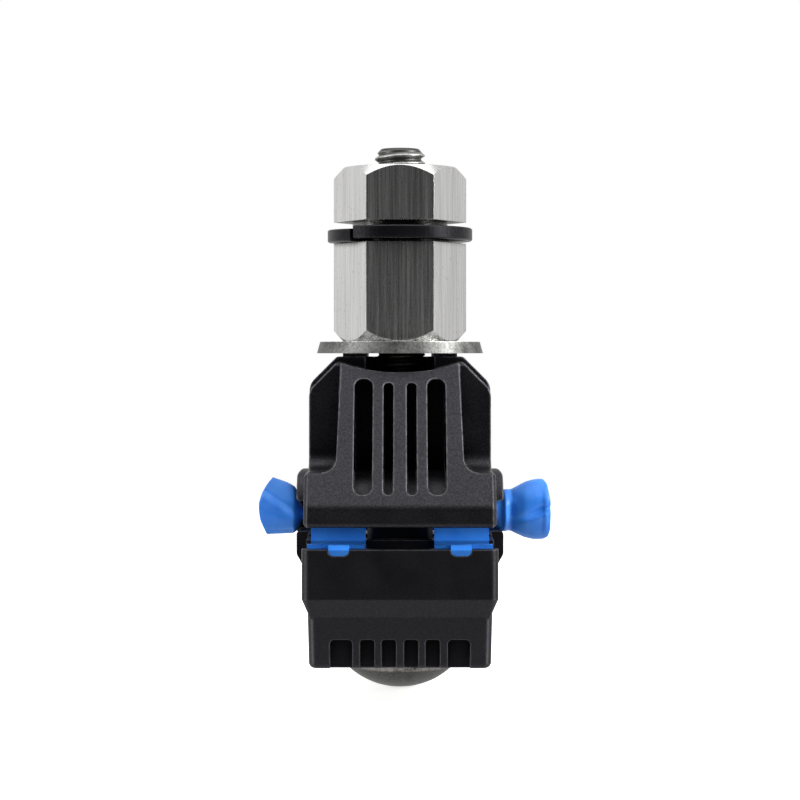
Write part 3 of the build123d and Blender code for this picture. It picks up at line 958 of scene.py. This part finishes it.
def left_crease(x: float, up: float, out: float) -> float:
    """Push of the left boot's front wall: a ridge down the fan, a valley under it and a flat hem below."""
    if out > 0:
        return 0.0
    ridge_up = 0.09 * (x - 16.0)
    ridge = -0.35 * hump(up, ridge_up, 0.16)
    valley = 0.55 * hump(up, ridge_up - 0.36, 0.22)
    hem = 0.45 * (1 - ramp(up, -0.84, -0.74))
    return (ramp(x, 16.6, 19.0) * (ridge + valley) + ramp(x, 16.9, 17.6) * hem) * -out


def right_crease(x: float, up: float, out: float) -> float:
    """Push of the right boot's front wall: a bead and pleats at the neck, a slanting fold, a rolled rim."""
    if out > 0:
        return 0.0
    fold_up = 0.06 - 0.075 * (23.6 - x)
    fold = ramp(x, 18.6, 22.6) * (0.75 * hump(up, fold_up, 0.11) - 0.35 * hump(up, fold_up - 0.22, 0.10))
    swell = -0.30 * ramp(x, 19.0, 22.0) * hump(up, 0.45, 0.28)
    bead = -0.25 * hump(x, 17.1, 0.3)
    pleats = (0.24 + 0.16 * math.sin(7.0 * up + 1.2)) * hump(x, 18.0, 0.5)
    rim = -0.30 * ramp(x, 23.1, 23.6)
    return (fold + swell + bead + pleats + rim) * -out


@dataclass
class Connector:
    """The whole connector, built sub-assembly by sub-assembly."""

    tap_y: float = TAP_Y

    def boots(self) -> list[CableBoot]:
        """The two boots as the squeezed silicone stands in them."""
        left = CableBoot(
            side=Side.LEFT, axis_y=self.tap_y,
            top=((13.0, 8.0), (14.6, 6.0), (15.5, 5.0), (15.9, 5.3), (16.5, 6.9), (17.1, 8.5), (20.8, 10.1),
                 (23.2, 11.0)),
            foot=((13.0, 1.0), (14.6, 2.5), (15.5, 3.3), (15.9, 3.1), (16.6, 1.8), (17.3, 0.95), (21.9, 0.72),
                  (23.2, 0.65)),
            depths=((13.0, 3.5), (15.3, 1.5), (15.9, 1.7), (17.3, 2.9), (19.5, 2.5), (21.5, 1.9),
                    (23.2, 1.3)),
            rim=((-1.0, 21.75), (-0.75, 22.25), (-0.45, 22.8), (-0.1, 22.95), (0.26, 22.6), (0.61, 21.85),
                 (0.8, 21.35), (1.0, 20.75)),
            crease=left_crease)
        right = CableBoot(
            side=Side.RIGHT, axis_y=self.tap_y,
            top=((13.0, 8.0), (16.3, 7.9), (17.0, 8.1), (17.9, 8.1), (19.0, 8.6), (20.5, 9.35), (21.9, 9.72),
                 (22.7, 9.8), (24.4, 9.6)),
            foot=((13.0, 1.0), (16.3, 1.3), (17.0, 1.2), (17.7, 1.34), (19.0, 0.8), (20.5, 0.2),
                  (22.1, -0.07), (24.4, 0.0)),
            depths=((13.0, 3.4), (16.4, 3.0), (17.2, 3.35), (17.9, 3.2), (20.5, 3.8), (23.0, 3.7),
                    (24.4, 3.2)),
            rim=((-1.0, 23.3), (-0.88, 24.05), (-0.58, 24.34), (0.14, 24.35), (0.68, 24.0), (0.89, 23.8),
                 (1.0, 23.3)),
            crease=right_crease)
        return [left, right]

    def nodes(self) -> list[tuple[str, Finish]]:
        """CAD nodes that keep their shape, with their finishes."""
        pairs = [("upper_jaw", NYLON), ("lower_jaw", BASE_NYLON), ("shear_nut", ALUMINIUM),
                 ("plate_washer", GALVANISED)]
        for side in Side:
            for level in ("upper", "lower"):
                pairs.append((f"{level}_{side.word}_blade", CONTACT))
                pairs.append((f"{level}_{side.word}_run_seal", SEAL_SILICONE))
                pairs.append((f"{level}_{side.word}_tap_seal", SEAL_SILICONE))
        return pairs

    def build(self) -> None:
        """Builds and dresses everything."""
        for node, finish in self.nodes():
            dress_node(node, finish)
        ClampBolt().build()
        SpacerRing().build()
        for boot in self.boots():
            boot.build()
        CollarShadePlate().build()


@dataclass(frozen=True)
class Softbox:
    """One rectangular softbox, with its place and size in metres."""

    name: str
    place: tuple[float, float, float]
    size: Span
    watts: float

    def hang(self, aim: Sequence[float]) -> None:
        """Hangs the softbox.

        Args:
            aim: Point it faces, in metres.
        """
        light = bpy.data.lights.new(self.name, "AREA")
        light.shape = "RECTANGLE"
        light.size, light.size_y = self.size
        light.energy = self.watts
        lamp = bpy.data.objects.new(self.name, light)
        lamp.location = self.place
        lamp.rotation_euler = (Vector(aim) - Vector(self.place)).to_track_quat("-Z", "Y").to_euler()
        bpy.context.scene.collection.objects.link(lamp)


SOFTBOXES = (
    Softbox("top_softbox", (0.0, -0.10, 0.62), (0.7, 0.7), 2.3),
    Softbox("left_key", (-0.60, -0.20, 0.30), (0.25, 0.30), 1.9),
    Softbox("right_key", (0.60, -0.20, 0.30), (0.25, 0.30), 5.6),
)


@dataclass
class Studio:
    """White paper, soft light and the camera that stands in front."""

    floor_mm: float = -22.3
    floor_size: float = 0.9
    light_aim: tuple[float, float, float] = (0.0, 0.01, 0.02)
    camera_mm: tuple[float, float, float] = (0.0, -345.5, 30.0)
    pitch_degrees: float = -1.13
    focal_mm: float = 103.0
    sensor_mm: float = 36.0

    def floor(self) -> None:
        """Lays the paper floor, which neither shines nor lights back into the black jaws."""
        half = self.floor_size / 2 / MM
        level = self.floor_mm
        corners = [(-half, -half, level), (half, -half, level), (half, half, level), (-half, half, level)]
        paper = mesh_piece("paper_floor", corners, [(0, 1, 2, 3)], smooth=False)
        PAPER.wear(paper)
        paper.visible_glossy = False
        paper.visible_diffuse = False

    def world(self) -> None:
        """Surrounds the connector with a light tent that is bright behind and dim in front."""
        world = bpy.data.worlds.new("light_tent")
        bpy.context.scene.world = world
        world.use_nodes = True
        tree = world.node_tree
        tree.nodes.clear()
        coords = add_node(tree, "ShaderNodeTexCoord").outputs["Generated"]
        split = add_node(tree, "ShaderNodeSeparateXYZ", links={0: coords}).outputs
        depth = spread(tree, split["Y"], (-0.35, 0.45), (0.025, 0.84), smooth=True)
        side = spread(tree, split["X"], (-1.0, 1.0), (1.06, 0.84))
        above = spread(tree, split["Z"], (0.1, 0.9), (0.0, 0.7), smooth=True)
        below = spread(tree, split["Z"], (-0.15, -0.36))
        sky = combine(tree, "MAXIMUM", combine(tree, "MULTIPLY", depth, side), above)
        strength = combine(tree, "MAXIMUM", sky, below)
        # Lit table edges at both sides, which draw the streaks down the rounded corners of the foot
        beside = spread(tree, combine(tree, "ABSOLUTE", split["X"]), (0.72, 0.90), (0.0, 5.5), smooth=True)
        low = spread(tree, split["Z"], (0.0, -0.12))
        before = spread(tree, split["Y"], (0.0, -0.2))
        total = combine(tree, "MULTIPLY_ADD", beside, combine(tree, "MULTIPLY", low, before), strength)
        tent = add_node(tree, "ShaderNodeBackground", {"Color": linear("#ffffff")},
                        {"Strength": total})
        white = add_node(tree, "ShaderNodeBackground", {"Color": linear("#ffffff"), "Strength": 1.0})
        path = add_node(tree, "ShaderNodeLightPath")
        seen = add_node(tree, "ShaderNodeMixShader",
                        links={0: path.outputs["Is Camera Ray"], 1: tent.outputs[0], 2: white.outputs[0]})
        add_node(tree, "ShaderNodeOutputWorld", links={"Surface": seen.outputs[0]})

    def camera(self) -> None:
        """Sets the camera level with the hood's top, a little tilted down."""
        lens = bpy.data.cameras.new("photo_camera")
        lens.lens = self.focal_mm
        lens.sensor_width = self.sensor_mm
        lens.sensor_fit = "HORIZONTAL"
        lens.clip_start = 0.01
        holder = bpy.data.objects.new("photo_camera", lens)
        holder.location = [c * MM for c in self.camera_mm]
        holder.rotation_euler = (math.radians(90 + self.pitch_degrees), 0, 0)
        bpy.context.scene.collection.objects.link(holder)
        bpy.context.scene.camera = holder

    def build(self) -> None:
        """Sets up the stage."""
        bpy.context.scene.view_settings.view_transform = "Standard"
        self.floor()
        self.world()
        for softbox in SOFTBOXES:
            softbox.hang(self.light_aim)
        self.camera()


def main() -> None:
    """Builds the connector and the studio round it."""
    logging.basicConfig(level=logging.INFO, format="%(message)s")
    Connector().build()
    Studio().build()


if __name__ == "__main__":
    main()
